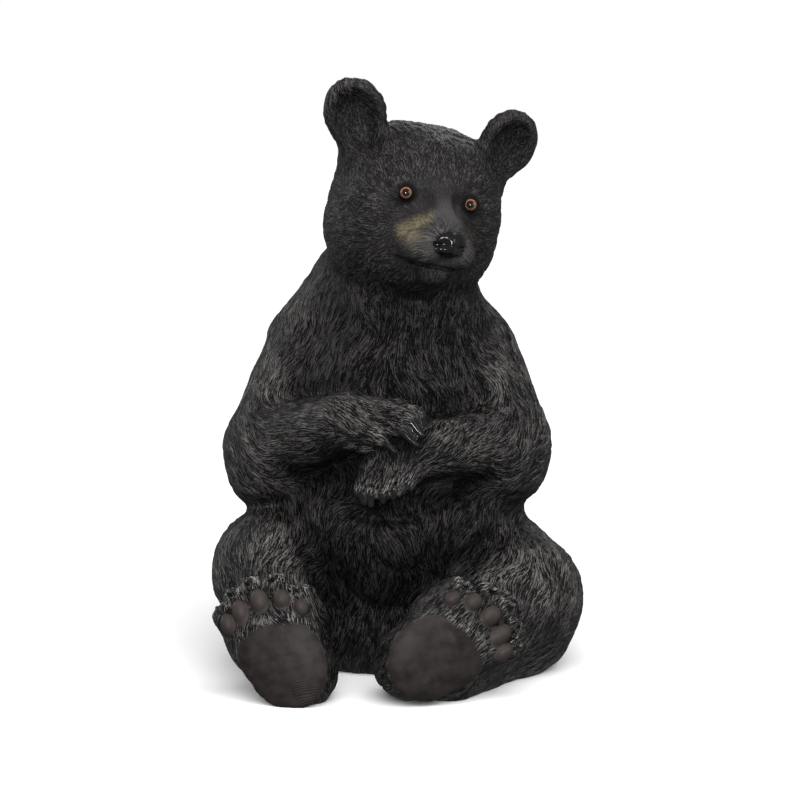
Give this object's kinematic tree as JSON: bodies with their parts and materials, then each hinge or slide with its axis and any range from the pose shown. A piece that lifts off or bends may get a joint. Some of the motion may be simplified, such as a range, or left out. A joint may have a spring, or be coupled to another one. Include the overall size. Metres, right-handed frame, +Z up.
{
  "type": "bear statue",
  "caption": "Seated young bear figure with one paw laid over the other and glassy eyes, standing on its own weight as a garden ornament.",
  "frame": {"origin": "on the ground, in the flat underside below the body", "axes": "+Z up, -Y to the front where the soles face, +X to the bear's left"},
  "size_m": [0.3784, 0.3536, 0.5998],
  "materials": {
    "painted_resin": "painted to look like dark fur, lighter on the ridges of the strokes, with grey-brown soles, glossy claws and nose and a tan patch on each side of the muzzle",
    "eye": "glassy amber iris around a black pupil"
  },
  "bodies": {
    "root": {"bear_body": "painted_resin", "right_eye": "eye", "left_eye": "eye"}
  },
  "joints": []
}
